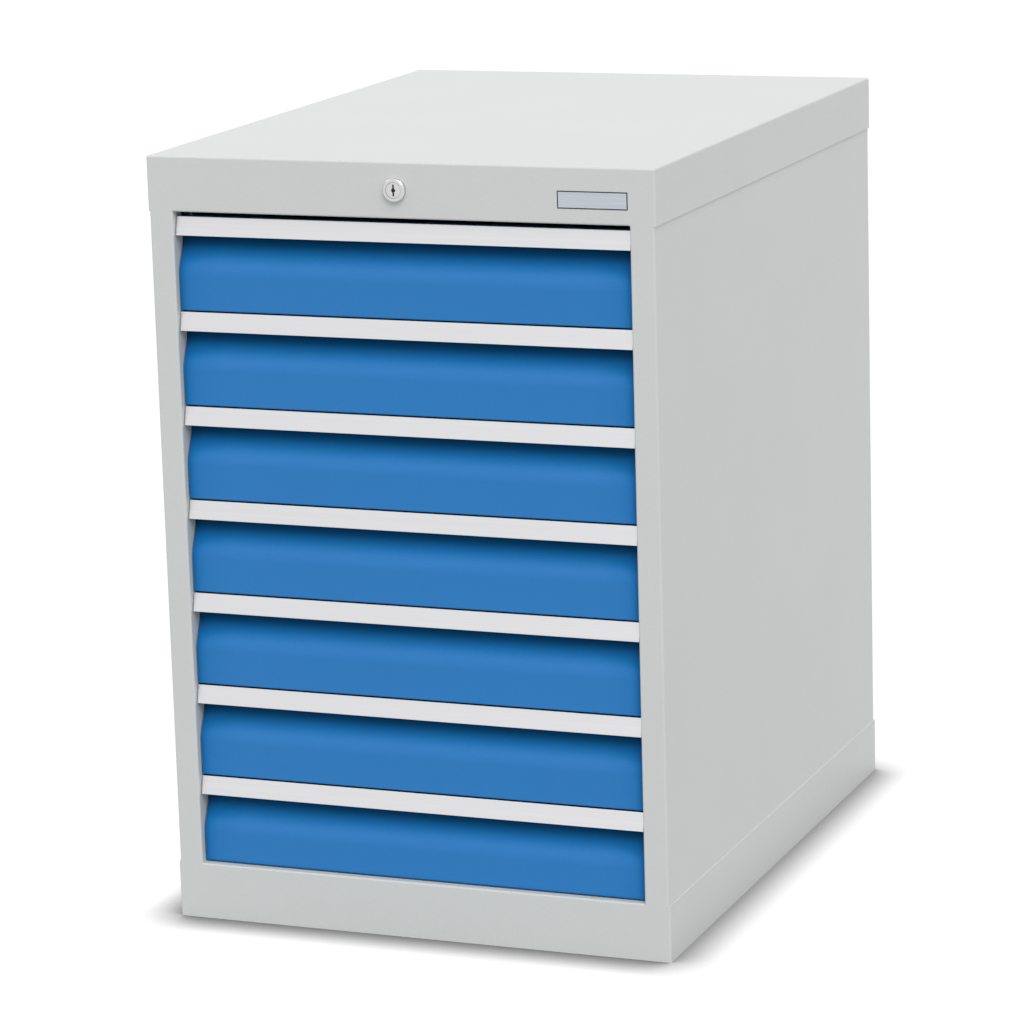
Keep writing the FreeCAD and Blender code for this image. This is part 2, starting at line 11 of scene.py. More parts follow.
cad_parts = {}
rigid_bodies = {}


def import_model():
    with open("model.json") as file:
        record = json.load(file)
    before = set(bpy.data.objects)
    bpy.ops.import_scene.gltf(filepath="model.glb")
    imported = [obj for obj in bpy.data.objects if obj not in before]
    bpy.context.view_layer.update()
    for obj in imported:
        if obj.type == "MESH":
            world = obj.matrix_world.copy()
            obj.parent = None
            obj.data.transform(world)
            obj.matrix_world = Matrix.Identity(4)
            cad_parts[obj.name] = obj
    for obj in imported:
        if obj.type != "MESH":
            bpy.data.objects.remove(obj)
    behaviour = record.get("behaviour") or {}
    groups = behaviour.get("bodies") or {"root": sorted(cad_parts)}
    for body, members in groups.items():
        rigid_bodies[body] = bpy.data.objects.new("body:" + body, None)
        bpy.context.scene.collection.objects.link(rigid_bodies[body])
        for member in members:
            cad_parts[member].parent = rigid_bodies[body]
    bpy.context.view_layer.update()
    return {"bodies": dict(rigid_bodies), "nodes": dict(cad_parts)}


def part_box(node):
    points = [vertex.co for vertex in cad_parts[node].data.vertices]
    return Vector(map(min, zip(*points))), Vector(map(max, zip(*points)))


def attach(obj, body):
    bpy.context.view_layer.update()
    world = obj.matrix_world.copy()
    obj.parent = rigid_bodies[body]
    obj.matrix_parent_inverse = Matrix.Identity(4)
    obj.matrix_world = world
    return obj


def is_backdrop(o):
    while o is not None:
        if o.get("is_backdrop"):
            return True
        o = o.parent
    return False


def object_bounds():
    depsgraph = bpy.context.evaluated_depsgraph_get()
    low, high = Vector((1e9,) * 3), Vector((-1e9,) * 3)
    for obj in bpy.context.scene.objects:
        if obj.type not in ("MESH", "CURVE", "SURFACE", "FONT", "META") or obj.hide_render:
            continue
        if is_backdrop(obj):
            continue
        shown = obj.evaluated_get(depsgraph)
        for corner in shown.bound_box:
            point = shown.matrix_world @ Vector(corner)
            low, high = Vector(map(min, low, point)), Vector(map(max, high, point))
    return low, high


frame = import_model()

bl_info = {
    "name": "Drawer Cabinet Finisher",
    "version": (1, 0, 0),
    "blender": (4, 5, 0),
    "location": "3D View > Sidebar > Cabinet",
    "description": "Gives a packed drawer cabinet its finishes, small fittings and studio stage",
    "category": "Object",
}

DRAWERS = sorted(body for body in frame["bodies"] if body.startswith("drawer_"))
HOUSING_NODES = ("top_cap", "left_side_panel", "right_side_panel", "rear_panel", "floor_panel", "plinth")
FIXED_STEEL_NODES = ("slotted_uprights", "left_fixed_rails", "right_fixed_rails")
LOCK_STEEL_NODES = ("lock_nut", "lock_shaft", "lock_crank", "lock_bar", "lock_guides")
LOCK_FACE_NODES = ("lock_housing", "lock_plug")
MILLIMETRE = 0.001
SENSOR_WIDTH = 36
SMOOTH_ANGLE = math.radians(35)
QUARTER_TURN = math.radians(90)
ROUND = 24  # sides of a small round piece
ALONG = 0.9  # a face whose normal has this much of an axis counts as facing along it
NOISE_LOW = 0.3  # nearly all of a noise's values fall between these two
NOISE_HIGH = 0.7
WAVE_CYCLES = 3.2  # about the number of rings that a wave texture at scale 1 draws in one unit of length


def linear(code):
    """Linear red, green and blue of an sRGB hex colour."""
    parts = [int(code[i:i + 2], 16) / 255 for i in (1, 3, 5)]
    return [p / 12.92 if p <= 0.04045 else ((p + 0.055) / 1.055) ** 2.4 for p in parts]


def colour_property(name, description, code):
    """A colour whose default is an sRGB hex colour."""
    return FloatVectorProperty(name=name, description=description, subtype="COLOR", size=3, min=0, max=1,
                               default=linear(code))


def length_property(name, description, millimetres):
    """A length whose default is given in millimetres."""
    return FloatProperty(name=name, description=description, unit="LENGTH", precision=5, min=0,
                         default=millimetres * MILLIMETRE)


def share_property(name, description, share):
    """A plain number that isn't negative."""
    return FloatProperty(name=name, description=description, precision=3, min=0, default=share)


def angle_property(name, description, degrees):
    """An angle whose default is given in degrees."""
    return FloatProperty(name=name, description=description, subtype="ANGLE", default=math.radians(degrees))


class CabinetPaints(bpy.types.PropertyGroup):
    """Colours and grain of the powder coats."""

    housing: colour_property("Housing", "Light grey of the housing and the trays", "#CDD0CF")
    fronts: colour_property("Fronts", "Blue of the drawer fronts", "#1977BE")
    peel: length_property("Orange peel", "Distance between the soft humps of the cured film", 2.6)
    grain: length_property("Grain", "Distance between the fine grains of the satin", 0.7)
    grain_relief: share_property("Grain relief", "Height of the grains as a share of the humps'", 0.25)
    cloud: length_property("Clouds", "Size of the areas where the film is a little thicker", 140)
    # Painted shade under the strips: its reach, the upward lean of the sampled normal, the level that counts
    # as unshaded, and how fast the colour darkens.
    painted_shade_reach: length_property("Overhang", "Distance below a strip over which the film gets thicker", 45)
    painted_shade_lift: share_property("Spray lift", "How far the spray comes from above a face's own facing", 0.8)
    unshaded_wall_share: share_property("Plain share", "Share of the raised spray that a plain wall receives", 0.89)
    painted_shade_power: share_property("Thinning", "How quickly the colour deepens as less powder settles", 0.7)


class CabinetMetals(bpy.types.PropertyGroup):
    """Colours and grain of the bare metals. 1000 / n is the size of a pattern that has n to the metre."""

    strip: colour_property("Handle strips", "Pale anodised aluminium", "#DFDFE1")
    zinc: colour_property("Zinc", "Dipped and plated steel of the runners and uprights", "#B4B8BA")
    nickel: colour_property("Lock face", "Satin nickel of the lock", "#D4D5D4")
    die_line: length_property("Die lines", "Distance between the faint lines that the press leaves", 0.9)
    die_length: length_property("Die line length", "Length over which a die line changes", 1000 / 1.2)
    etch: length_property("Etching", "Distance between the fine pits of the etched strips", 1000 / 1800)
    etch_relief: share_property("Etching relief", "Depth of the pits as a share of the die lines'", 0.3)
    spangle: length_property("Spangle", "Width of a crystal in the dipped zinc", 9)
    spangle_bend: length_property("Spangle bend", "How far a crystal's edges wander", 1.5)
    rolling: length_property("Rolling grain", "Distance between the lines that the rolls leave", 1000 / 1400)
    rolling_length: length_property("Rolling length", "Length of a line that the rolls leave", 1000 / 12)
    blush: length_property("Blush", "Size of the lighter areas in the zinc plate", 1000 / 28)
    turning: length_property("Turning lines", "Distance between the rings that the lathe leaves", 0.45)
    smear: length_property("Smear", "Size of the lighter areas in the nickel", 1000 / 260)


class CabinetPlastics(bpy.types.PropertyGroup):
    """Colours and grain of the plate, the rollers and the black pieces. 1000 / n is the size of a pattern
    that has n to the metre."""

    plate_dark: colour_property("Plate lines", "Blue-grey of the plate's brushed lines", "#B3BBC4")
    plate_light: colour_property("Plate field", "Paler blue-grey between the lines", "#CED5DC")
    brush: length_property("Plate brushing", "Distance between the plate's brushed lines", 0.625)
    brush_length: length_property("Plate line length", "Length of a brushed line", 50)
    roller_dark: colour_property("Roller", "Charcoal of the moulded rollers", "#1C1D20")
    roller_light: colour_property("Roller flow marks", "Lighter charcoal where the melt flowed", "#2C2E32")
    flow: length_property("Flow marks", "Size of the flow marks on the rollers", 1000 / 700)
    gasket: colour_property("Gasket", "Rubber round the name plate", "#2E3032")
    buffer: colour_property("Buffers", "Rubber in the rails' ends", "#1E1F21")
    # Near black of the leaf behind the key slot, which stands in for the slot's deep shade: painted shade.
    shutter: colour_property("Key shutter", "Black oxide of the key shutter", "#141414")
    pit: length_property("Pits", "Distance between the pits of the black pieces", 1000 / 1500)


class CabinetFittings(bpy.types.PropertyGroup):
    """Sizes of the fittings that are added to the solids."""

    plate_edge: length_property("Plate edge", "How far the name plate's back reaches past its window", 2.5)
    gasket_width: length_property("Gasket width", "Width of the rubber ring round the name plate", 1.2)
    gasket_proud: length_property("Gasket height", "How far the ring stands out of the fascia", 0.3)
    gasket_depth: length_property("Gasket depth", "Length of the ring from front to back", 1.6)
    shutter_set: length_property("Shutter depth", "Distance of the key shutter behind the plug's face", 1.1)
    shutter_width: length_property("Shutter width", "Width of the key shutter's leaf", 1.6)
    shutter_height: length_property("Shutter height", "Height of the key shutter's leaf", 11.6)
    shutter_boss: length_property("Shutter boss", "Diameter of the key shutter's round middle", 4.1)
    buffer_length: length_property("Buffer length", "Thickness of the rubber blocks in the rails' ends", 3.6)
    roller_width: length_property("Roller width", "Width of a runner's roller, without its stud", 4.9)
    weld_pitch: length_property("Weld pitch", "Distance between the spot welds", 56)
    weld_diameter: length_property("Weld diameter", "Diameter of a spot weld's mark", 5.2)
    weld_set: length_property("Weld level", "Distance of the welds below the tray's rim", 4.6)
    weld_count: IntProperty(name="Welds", description="Spot welds along a tray's front wall", min=1,
                            default=8)


class CabinetStage(bpy.types.PropertyGroup):
    """The studio: camera, lamps and floor."""

    camera_place: FloatVectorProperty(name="Camera", description="Place of the camera", size=3,
                                      subtype="TRANSLATION", default=(1.6563, -4.2510, 1.4080))
    camera_aim: FloatVectorProperty(name="Aim", description="Point in the middle of the picture", size=3,
                                    subtype="TRANSLATION", default=(-0.0295, 0, 0.3754))
    camera_roll: angle_property("Roll", "Tilt of the camera about its own axis", -1.656)
    camera_lens: FloatProperty(name="Lens", description="Focal length on a 36 mm sensor", unit="CAMERA",
                               default=148.5)
    sky: share_property("Sky", "Strength of the soft light from all round", 0.74)
    lamp: share_property("Lamp", "Strength of the large lamp high in front", 1.56)
    lamp_spread: angle_property("Lamp spread", "Angle that a lamp fills", 40)
    lamp_tilt: angle_property("Lamp tilt", "Angle of the lamp from the upright", 43)
    lamp_side: angle_property("Lamp side", "Angle of the lamp from the front to the right", 31.5)
    back_lamp: share_property("Back lamp", "Strength of the weaker lamp behind", 0.35)
    back_tilt: angle_property("Back lamp tilt", "Angle of the back lamp from the upright", 60)
    back_side: angle_property("Back lamp side", "Angle of the back lamp from the front", 250)
    floor_size: length_property("Floor", "Side of the floor", 200000)
    floor_grey: colour_property("Floor grey", "Grey of the floor in the light it throws back", "#B3B3B3")
    floor_glow: share_property("Floor glow", "Brightness of the seen floor, away from the foot", 1.1)
    floor_matt: share_property("Floor matt", "Share of the seen floor that the lamps light", 0.1)
    shade_reach: length_property("Shade reach", "Reach of the soft dark line along the foot", 50)
    shade_depth: share_property("Shade depth", "How dark the line along the foot gets", 2.1)
    shade_lean: FloatVectorProperty(name="Shade lean", description="Main direction of the light that the "
                                    "walls over the foot keep off", subtype="XYZ", size=3,
                                    default=(0.07, 0.17, 0.98))


# Selection and placing


def deselect_all():
    """Leaves nothing selected."""
    for thing in bpy.context.selected_objects:
        thing.select_set(False)


def start_piece(name):
    """Names the primitive just added and opens it for editing, with no face selected."""
    piece = bpy.context.object
    piece.name = name
    piece.data.name = name
    bpy.ops.object.transform_apply(location=True, rotation=True, scale=True)
    bpy.ops.object.mode_set(mode="EDIT")
    bpy.ops.mesh.select_mode(type="FACE")
    bpy.ops.mesh.select_all(action="DESELECT")
    return piece


def select_faces(test):
    """Selects the faces of the piece being edited whose normal passes the test."""
    mesh = bmesh.from_edit_mesh(bpy.context.object.data)
    for face in mesh.faces:
        face.select_set(test(face.normal))
    bmesh.update_edit_mesh(bpy.context.object.data)


def end_piece(piece, bevel=0.0, segments=2):
    """Closes editing and rounds the edges."""
    bpy.ops.mesh.select_all(action="SELECT")
    bpy.ops.mesh.normals_make_consistent(inside=False)
    bpy.ops.object.mode_set(mode="OBJECT")
    if bevel:
        rounding = piece.modifiers.new("rounded edges", "BEVEL")
        rounding.width = bevel
        rounding.segments = segments
        rounding.limit_method = "ANGLE"
        bpy.ops.object.modifier_apply(modifier=rounding.name)
    bpy.ops.object.shade_smooth_by_angle(angle=SMOOTH_ANGLE)
    return piece


def add_block(name, low, high):
    """Opens a new block between two corners for editing."""
    deselect_all()
    bpy.ops.mesh.primitive_cube_add(size=1, location=(low + high) / 2, scale=high - low)
    return start_piece(name)


def copied(piece, offset):
    """A copy of a piece with a mesh of its own, moved by an offset."""
    copy = piece.copy()
    copy.data = piece.data.copy()
    copy.data.transform(Matrix.Translation(offset))
    bpy.context.scene.collection.objects.link(copy)
    return copy


def joined(pieces, name):
    """Several pieces as one."""
    deselect_all()
    for piece in pieces:
        piece.select_set(True)
    bpy.context.view_layer.objects.active = pieces[0]
    if len(pieces) > 1:
        bpy.ops.object.join()
    pieces[0].name = name
    pieces[0].data.name = name
    return pieces[0]


# Materials


def feed(tree, node, inputs):
    """Links a node's inputs to sockets or sets them to values."""
    for key, value in inputs.items():
        if isinstance(value, bpy.types.NodeSocket):
            tree.links.new(value, node.inputs[key])
        else:
            node.inputs[key].default_value = value


def add_node(tree, kind, inputs=None, **settings):
    """A node with its settings and inputs."""
    node = tree.nodes.new(kind)
    for name, value in settings.items():
        setattr(node, name, value)
    feed(tree, node, inputs or {})
    return node


def start_material(name):
    """A new material with its shader and the place on the piece, in metres."""
    material = bpy.data.materials.new(name)
    material.use_nodes = True
    tree = material.node_tree
    shader = tree.nodes["Principled BSDF"]
    place = add_node(tree, "ShaderNodeTexCoord").outputs["Object"]
    return material, tree, shader, place


def shade(colour, share):
    """A colour made lighter or darker by a share, with its alpha."""
    return [min(c * share, 1) for c in colour] + [1]


def dress(material, *nodes):
    """Puts a material on CAD nodes, in place of the plain one that they come with."""
    for node in nodes:
        mesh = frame["nodes"][node].data
        mesh.materials.clear()
        mesh.materials.append(material)


def painted_shade_under_strips(tree, paints):
    """Mask of the painted shade under overhanging pieces: ambient occlusion sampled round the normal leaned
    a little upward, 1 on a plain upright wall, which itself hides about a tenth of the raised directions."""
    facing = add_node(tree, "ShaderNodeNewGeometry").outputs["Normal"]
    # The normal leaned upward, round which the painted shade is sampled.
    raised = add_node(tree, "ShaderNodeVectorMath", {0: facing, 1: (0, 0, paints.painted_shade_lift)},
                      operation="ADD")
    spray = add_node(tree, "ShaderNodeVectorMath", {0: raised.outputs[0]}, operation="NORMALIZE")
    near = add_node(tree, "ShaderNodeAmbientOcclusion", {"Distance": paints.painted_shade_reach,
                                                         "Normal": spray.outputs[0]}, samples=8)
    share = add_node(tree, "ShaderNodeMapRange", {"Value": near.outputs["AO"],
                                                  "From Max": paints.unshaded_wall_share})
    return share.outputs["Result"]


def powder_coat(name, colour, paints, with_painted_shade=False):
    """Polyester powder coat, sprayed dry and baked on steel: a satin skin whose fine orange peel breaks up
    what it mirrors, over broad clouds where the film is thicker and the colour a touch deeper. The grain
    is drawn coarser than real ones so that it shows. On request, painted shade darkens the colour and dulls
    the sheen under overhanging pieces."""
    material, tree, shader, place = start_material(name)
    peel = add_node(tree, "ShaderNodeTexNoise", {"Vector": place, "Scale": 1 / paints.peel, "Detail": 1.0})
    grain = add_node(tree, "ShaderNodeTexNoise", {"Vector": place, "Scale": 1 / paints.grain, "Detail": 2.0})
    cloud = add_node(tree, "ShaderNodeTexNoise", {"Vector": place, "Scale": 1 / paints.cloud, "Detail": 3.0})
    film = add_node(tree, "ShaderNodeMapRange", {"Value": cloud.outputs["Fac"], "From Min": NOISE_LOW,
                                                 "From Max": NOISE_HIGH})
    tint = add_node(tree, "ShaderNodeMix", {0: film.outputs["Result"], 6: shade(colour, 0.99),
                                            7: shade(colour, 1.01)}, data_type="RGBA")
    fleck = add_node(tree, "ShaderNodeMapRange", {"Value": grain.outputs["Fac"], "From Min": NOISE_LOW,
                                                  "From Max": NOISE_HIGH, "To Min": 0.96, "To Max": 1.04})
    final = add_node(tree, "ShaderNodeVectorMath", {0: tint.outputs[2], 1: fleck.outputs["Result"]},
                     operation="MULTIPLY")
    # Painted shade: under overhangs the colour is darkened and the specular level lowered, which dulls the
    # sheen.
    if with_painted_shade:
        share = painted_shade_under_strips(tree, paints)
        painted_shade_factor = add_node(tree, "ShaderNodeMath", {0: share, 1: paints.painted_shade_power}, operation="POWER")
        final = add_node(tree, "ShaderNodeVectorMath", {0: final.outputs[0], 1: painted_shade_factor.outputs[0]},
                         operation="MULTIPLY")
        dull = add_node(tree, "ShaderNodeMapRange", {"Value": share, "From Min": 0.74, "From Max": 1.0,
                                                     "To Min": 0.03, "To Max": 0.5})
        feed(tree, shader, {"Specular IOR Level": dull.outputs["Result"]})
    gloss = add_node(tree, "ShaderNodeMapRange", {"Value": peel.outputs["Fac"], "From Min": NOISE_LOW,
                                                  "From Max": NOISE_HIGH, "To Min": 0.36, "To Max": 0.46})
    relief = add_node(tree, "ShaderNodeMath", {0: grain.outputs["Fac"], 1: paints.grain_relief,
                                               2: peel.outputs["Fac"]}, operation="MULTIPLY_ADD")
    bump = add_node(tree, "ShaderNodeBump", {"Height": relief.outputs[0], "Strength": 0.8,
                                             "Distance": 0.1 * MILLIMETRE})
    feed(tree, shader, {"Base Color": final.outputs[0], "Roughness": gloss.outputs["Result"],
                        "Normal": bump.outputs["Normal"], "IOR": 1.5})
    return material


def anodised_strip(metals):
    """Extruded aluminium, etched matt and clear anodised: pale and milky, with faint straight lines from the
    die along its length. The lines and the etched pits are drawn wider apart than real ones so that they
    show."""
    material, tree, shader, place = start_material("anodised_aluminium_extruded")
    across = 1 / metals.die_line
    drawn = add_node(tree, "ShaderNodeMapping", {"Vector": place,
                                                 "Scale": (1 / metals.die_length, across, across)})
    lines = add_node(tree, "ShaderNodeTexNoise", {"Vector": drawn.outputs["Vector"], "Scale": 1.0,
                                                  "Detail": 3.0})
    etch = add_node(tree, "ShaderNodeTexNoise", {"Vector": place, "Scale": 1 / metals.etch, "Detail": 1.0})
    tint = add_node(tree, "ShaderNodeMix", {0: lines.outputs["Fac"], 6: shade(metals.strip, 0.93),
                                            7: shade(metals.strip, 1.06)}, data_type="RGBA")
    gloss = add_node(tree, "ShaderNodeMapRange", {"Value": lines.outputs["Fac"], "From Min": NOISE_LOW,
                                                  "From Max": NOISE_HIGH, "To Min": 0.4, "To Max": 0.5})
    relief = add_node(tree, "ShaderNodeMath", {0: etch.outputs["Fac"], 1: metals.etch_relief,
                                               2: lines.outputs["Fac"]}, operation="MULTIPLY_ADD")
    bump = add_node(tree, "ShaderNodeBump", {"Height": relief.outputs[0], "Strength": 0.5,
                                             "Distance": 0.05 * MILLIMETRE})
    feed(tree, shader, {"Base Color": tint.outputs[2], "Roughness": gloss.outputs["Result"],
                        "Normal": bump.outputs["Normal"], "Metallic": 1})
    return material


def dipped_zinc(metals):
    """Hot-dip galvanised sheet: the zinc freezes into flat crystals, each with its own grey and its own
    gloss."""
    material, tree, shader, place = start_material("hot_dip_galvanised_steel")
    warp = add_node(tree, "ShaderNodeTexNoise", {"Vector": place, "Scale": 2 / metals.spangle,
                                                 "Detail": 2.0})
    bend = metals.spangle_bend
    bent = add_node(tree, "ShaderNodeVectorMath", {0: warp.outputs["Color"], 1: (bend, bend, bend),
                                                   2: place}, operation="MULTIPLY_ADD")
    crystal = add_node(tree, "ShaderNodeTexVoronoi", {"Vector": bent.outputs[0],
                                                      "Scale": 1 / metals.spangle})
    chance = add_node(tree, "ShaderNodeSeparateColor", {"Color": crystal.outputs["Color"]})
    tint = add_node(tree, "ShaderNodeMix", {0: chance.outputs["Red"], 6: shade(metals.zinc, 0.8),
                                            7: shade(metals.zinc, 1.12)}, data_type="RGBA")
    gloss = add_node(tree, "ShaderNodeMapRange", {"Value": chance.outputs["Green"], "To Min": 0.28,
                                                  "To Max": 0.46})
    feed(tree, shader, {"Base Color": tint.outputs[2], "Roughness": gloss.outputs["Result"],
                        "Metallic": 1})
    return material


def plated_zinc(name, metals):
    """Bright zinc plate over rolled steel: even and cool, with the rolling grain running from front to back.
    The grain is drawn wider apart than real ones so that it shows."""
    material, tree, shader, place = start_material(name)
    across = 1 / metals.rolling
    drawn = add_node(tree, "ShaderNodeMapping", {"Vector": place,
                                                 "Scale": (across, 1 / metals.rolling_length, across)})
    lines = add_node(tree, "ShaderNodeTexNoise", {"Vector": drawn.outputs["Vector"], "Scale": 1.0,
                                                  "Detail": 2.0})
    blush = add_node(tree, "ShaderNodeTexNoise", {"Vector": place, "Scale": 1 / metals.blush,
                                                  "Detail": 2.0})
    tint = add_node(tree, "ShaderNodeMix", {0: blush.outputs["Fac"], 6: shade(metals.zinc, 0.92),
                                            7: shade(metals.zinc, 1.08)}, data_type="RGBA")
    gloss = add_node(tree, "ShaderNodeMapRange", {"Value": lines.outputs["Fac"], "From Min": NOISE_LOW,
                                                  "From Max": NOISE_HIGH, "To Min": 0.26, "To Max": 0.4})
    bump = add_node(tree, "ShaderNodeBump", {"Height": lines.outputs["Fac"], "Strength": 0.4,
                                             "Distance": 0.02 * MILLIMETRE})
    feed(tree, shader, {"Base Color": tint.outputs[2], "Roughness": gloss.outputs["Result"],
                        "Normal": bump.outputs["Normal"], "Metallic": 1})
    return material


def satin_nickel(metals, axis):
    """Turned and nickel-plated zinc: almost white, with fine rings round the lock's axis that spread its
    highlight. The rings are drawn wider apart than real ones so that they show."""
    material, tree, shader, place = start_material("satin_nickel_turned")
    centred = add_node(tree, "ShaderNodeMapping", {"Vector": place, "Location": -axis})
    rings = add_node(tree, "ShaderNodeTexWave", {"Vector": centred.outputs["Vector"], "Detail": 1.0,
                                                 "Scale": 1 / (metals.turning * WAVE_CYCLES),
                                                 "Distortion": 0.4},
                     wave_type="RINGS", rings_direction="Y")
    smear = add_node(tree, "ShaderNodeTexNoise", {"Vector": place, "Scale": 1 / metals.smear,
                                                  "Detail": 2.0})
    tint = add_node(tree, "ShaderNodeMix", {0: smear.outputs["Fac"], 6: shade(metals.nickel, 0.94),
                                            7: shade(metals.nickel, 1.04)}, data_type="RGBA")
    gloss = add_node(tree, "ShaderNodeMapRange", {"Value": rings.outputs["Fac"], "To Min": 0.24,
                                                  "To Max": 0.36})
    bump = add_node(tree, "ShaderNodeBump", {"Height": rings.outputs["Fac"], "Strength": 0.35,
                                             "Distance": 0.01 * MILLIMETRE})
    feed(tree, shader, {"Base Color": tint.outputs[2], "Roughness": gloss.outputs["Result"],
                        "Normal": bump.outputs["Normal"], "Metallic": 1})
    return material


def bare_plate(plastics):
    """Clear polycarbonate over a pale film, die cut: a bare blue-grey field with a soft gloss and a fine
    brushed grain under the clear face, drawn coarser than a real one so that it shows."""
    material, tree, shader, place = start_material("polycarbonate_plate_bare")
    along = 1 / plastics.brush_length
    drawn = add_node(tree, "ShaderNodeMapping", {"Vector": place,
                                                 "Scale": (along, along, 1 / plastics.brush)})
    lines = add_node(tree, "ShaderNodeTexNoise", {"Vector": drawn.outputs["Vector"], "Scale": 1.0,
                                                  "Detail": 3.0})
    tint = add_node(tree, "ShaderNodeMix", {0: lines.outputs["Fac"], 6: shade(plastics.plate_dark, 1),
                                            7: shade(plastics.plate_light, 1)}, data_type="RGBA")
    gloss = add_node(tree, "ShaderNodeMapRange", {"Value": lines.outputs["Fac"], "To Min": 0.2,
                                                  "To Max": 0.34})
    feed(tree, shader, {"Base Color": tint.outputs[2], "Roughness": gloss.outputs["Result"], "IOR": 1.58})
    return material


def pitted_black(name, colour, plastics):
    """Near black and dull, with fine pits that scatter the light: rubber from a spark-eroded mould, and the
    key shutter's leaf, whose near black is painted shade in the key slot. The pits are drawn coarser than
    real ones so that they show."""
    material, tree, shader, place = start_material(name)
    pits = add_node(tree, "ShaderNodeTexNoise", {"Vector": place, "Scale": 1 / plastics.pit, "Detail": 2.0})
    tint = add_node(tree, "ShaderNodeMix", {0: pits.outputs["Fac"], 6: shade(colour, 0.75),
                                            7: shade(colour, 1.3)}, data_type="RGBA")
    gloss = add_node(tree, "ShaderNodeMapRange", {"Value": pits.outputs["Fac"], "To Min": 0.55,
                                                  "To Max": 0.8})
    bump = add_node(tree, "ShaderNodeBump", {"Height": pits.outputs["Fac"], "Strength": 0.5,
                                             "Distance": 0.04 * MILLIMETRE})
    feed(tree, shader, {"Base Color": tint.outputs[2], "Roughness": gloss.outputs["Result"],
                        "Normal": bump.outputs["Normal"], "IOR": 1.52})
    return material


def roller_finish(metals, plastics, inner_end, outer_end):
    """Moulded acetal rollers on plated studs: charcoal and slightly waxy on the roller, bright zinc on the
    stud, told apart by their distance from the cabinet's middle."""
    material, tree, shader, place = start_material("acetal_roller_on_zinc_stud")
    across = add_node(tree, "ShaderNodeSeparateXYZ", {"Vector": place}).outputs["X"]
    side = add_node(tree, "ShaderNodeMath", {0: across}, operation="ABSOLUTE")
    past = add_node(tree, "ShaderNodeMath", {0: side.outputs[0], 1: inner_end}, operation="GREATER_THAN")
    short = add_node(tree, "ShaderNodeMath", {0: side.outputs[0], 1: outer_end}, operation="LESS_THAN")
    stud = add_node(tree, "ShaderNodeMath", {0: past.outputs[0], 1: short.outputs[0]},
                    operation="MULTIPLY")
    flow = add_node(tree, "ShaderNodeTexNoise", {"Vector": place, "Scale": 1 / plastics.flow,
                                                 "Detail": 2.0})
    moulded = add_node(tree, "ShaderNodeMix", {0: flow.outputs["Fac"], 6: shade(plastics.roller_dark, 1),
                                               7: shade(plastics.roller_light, 1)}, data_type="RGBA")
    tint = add_node(tree, "ShaderNodeMix", {0: stud.outputs[0], 6: moulded.outputs[2],
                                            7: shade(metals.zinc, 1)}, data_type="RGBA")
    gloss = add_node(tree, "ShaderNodeMapRange", {"Value": flow.outputs["Fac"], "To Min": 0.3,
                                                  "To Max": 0.45})
    feed(tree, shader, {"Base Color": tint.outputs[2], "Roughness": gloss.outputs["Result"],
                        "Metallic": stud.outputs[0]})
    return material


# Operators: finishes of the CAD nodes


class CABINET_OT_coat_housing(bpy.types.Operator):
    """Coats the cap, walls, floor, plinth and rivets in light grey powder"""

    bl_idname = "cabinet.coat_housing"
    bl_label = "Coat the housing"

    def execute(self, context):
        paints = context.scene.cabinet_paints
        coat = powder_coat("powder_coat_light_grey", paints.housing, paints)
        dress(coat, *HOUSING_NODES, "rear_rivets")
        return {"FINISHED"}


class CABINET_OT_coat_drawers(bpy.types.Operator):
    """Coats the drawer fronts in blue powder and the trays in light grey powder"""

    bl_idname = "cabinet.coat_drawers"
    bl_label = "Coat the drawers"

    def execute(self, context):
        paints = context.scene.cabinet_paints
        # The blue carries painted shade under the handle strips.
        blue = powder_coat("powder_coat_light_blue", paints.fronts, paints, with_painted_shade=True)
        grey = powder_coat("powder_coat_tray_grey", paints.housing, paints)
        for drawer in DRAWERS:
            dress(blue, drawer + "_front")
            dress(grey, drawer + "_tray")
        return {"FINISHED"}


class CABINET_OT_finish_strips(bpy.types.Operator):
    """Gives the handle strips their anodised aluminium"""

    bl_idname = "cabinet.finish_strips"
    bl_label = "Finish the handle strips"

    def execute(self, context):
        dress(anodised_strip(context.scene.cabinet_metals), *[drawer + "_handle" for drawer in DRAWERS])
        return {"FINISHED"}


class CABINET_OT_finish_runners(bpy.types.Operator):
    """Gives the uprights and runners their zinc, and the rollers their plastic on plated studs"""

    bl_idname = "cabinet.finish_runners"
    bl_label = "Finish the runners"

    def execute(self, context):
        metals = context.scene.cabinet_metals
        plastics = context.scene.cabinet_plastics
        width = context.scene.cabinet_fittings.roller_width
        dress(dipped_zinc(metals), *FIXED_STEEL_NODES)
        dress(plated_zinc("bright_zinc_plate_rails", metals),
              *[drawer + end for drawer in DRAWERS for end in ("_rails", "_carriages")])
        _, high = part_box(DRAWERS[0] + "_rollers")
        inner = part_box(DRAWERS[0] + "_rails")[1].x - roller_edge_gap()
        rollers = roller_finish(metals, plastics, inner, high.x - width)
        dress(rollers, *[drawer + "_rollers" for drawer in DRAWERS])
        return {"FINISHED"}


def roller_edge_gap():
    """Gap between the outer edge of a drawer's rail and the side of the roller inside it."""
    rail_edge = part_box(DRAWERS[0] + "_rails")[1].x
    carriages = frame["nodes"][DRAWERS[0] + "_carriages"].data
    carriage_face = min(v.co.x for v in carriages.vertices if v.co.x > 0)
    return carriage_face - rail_edge


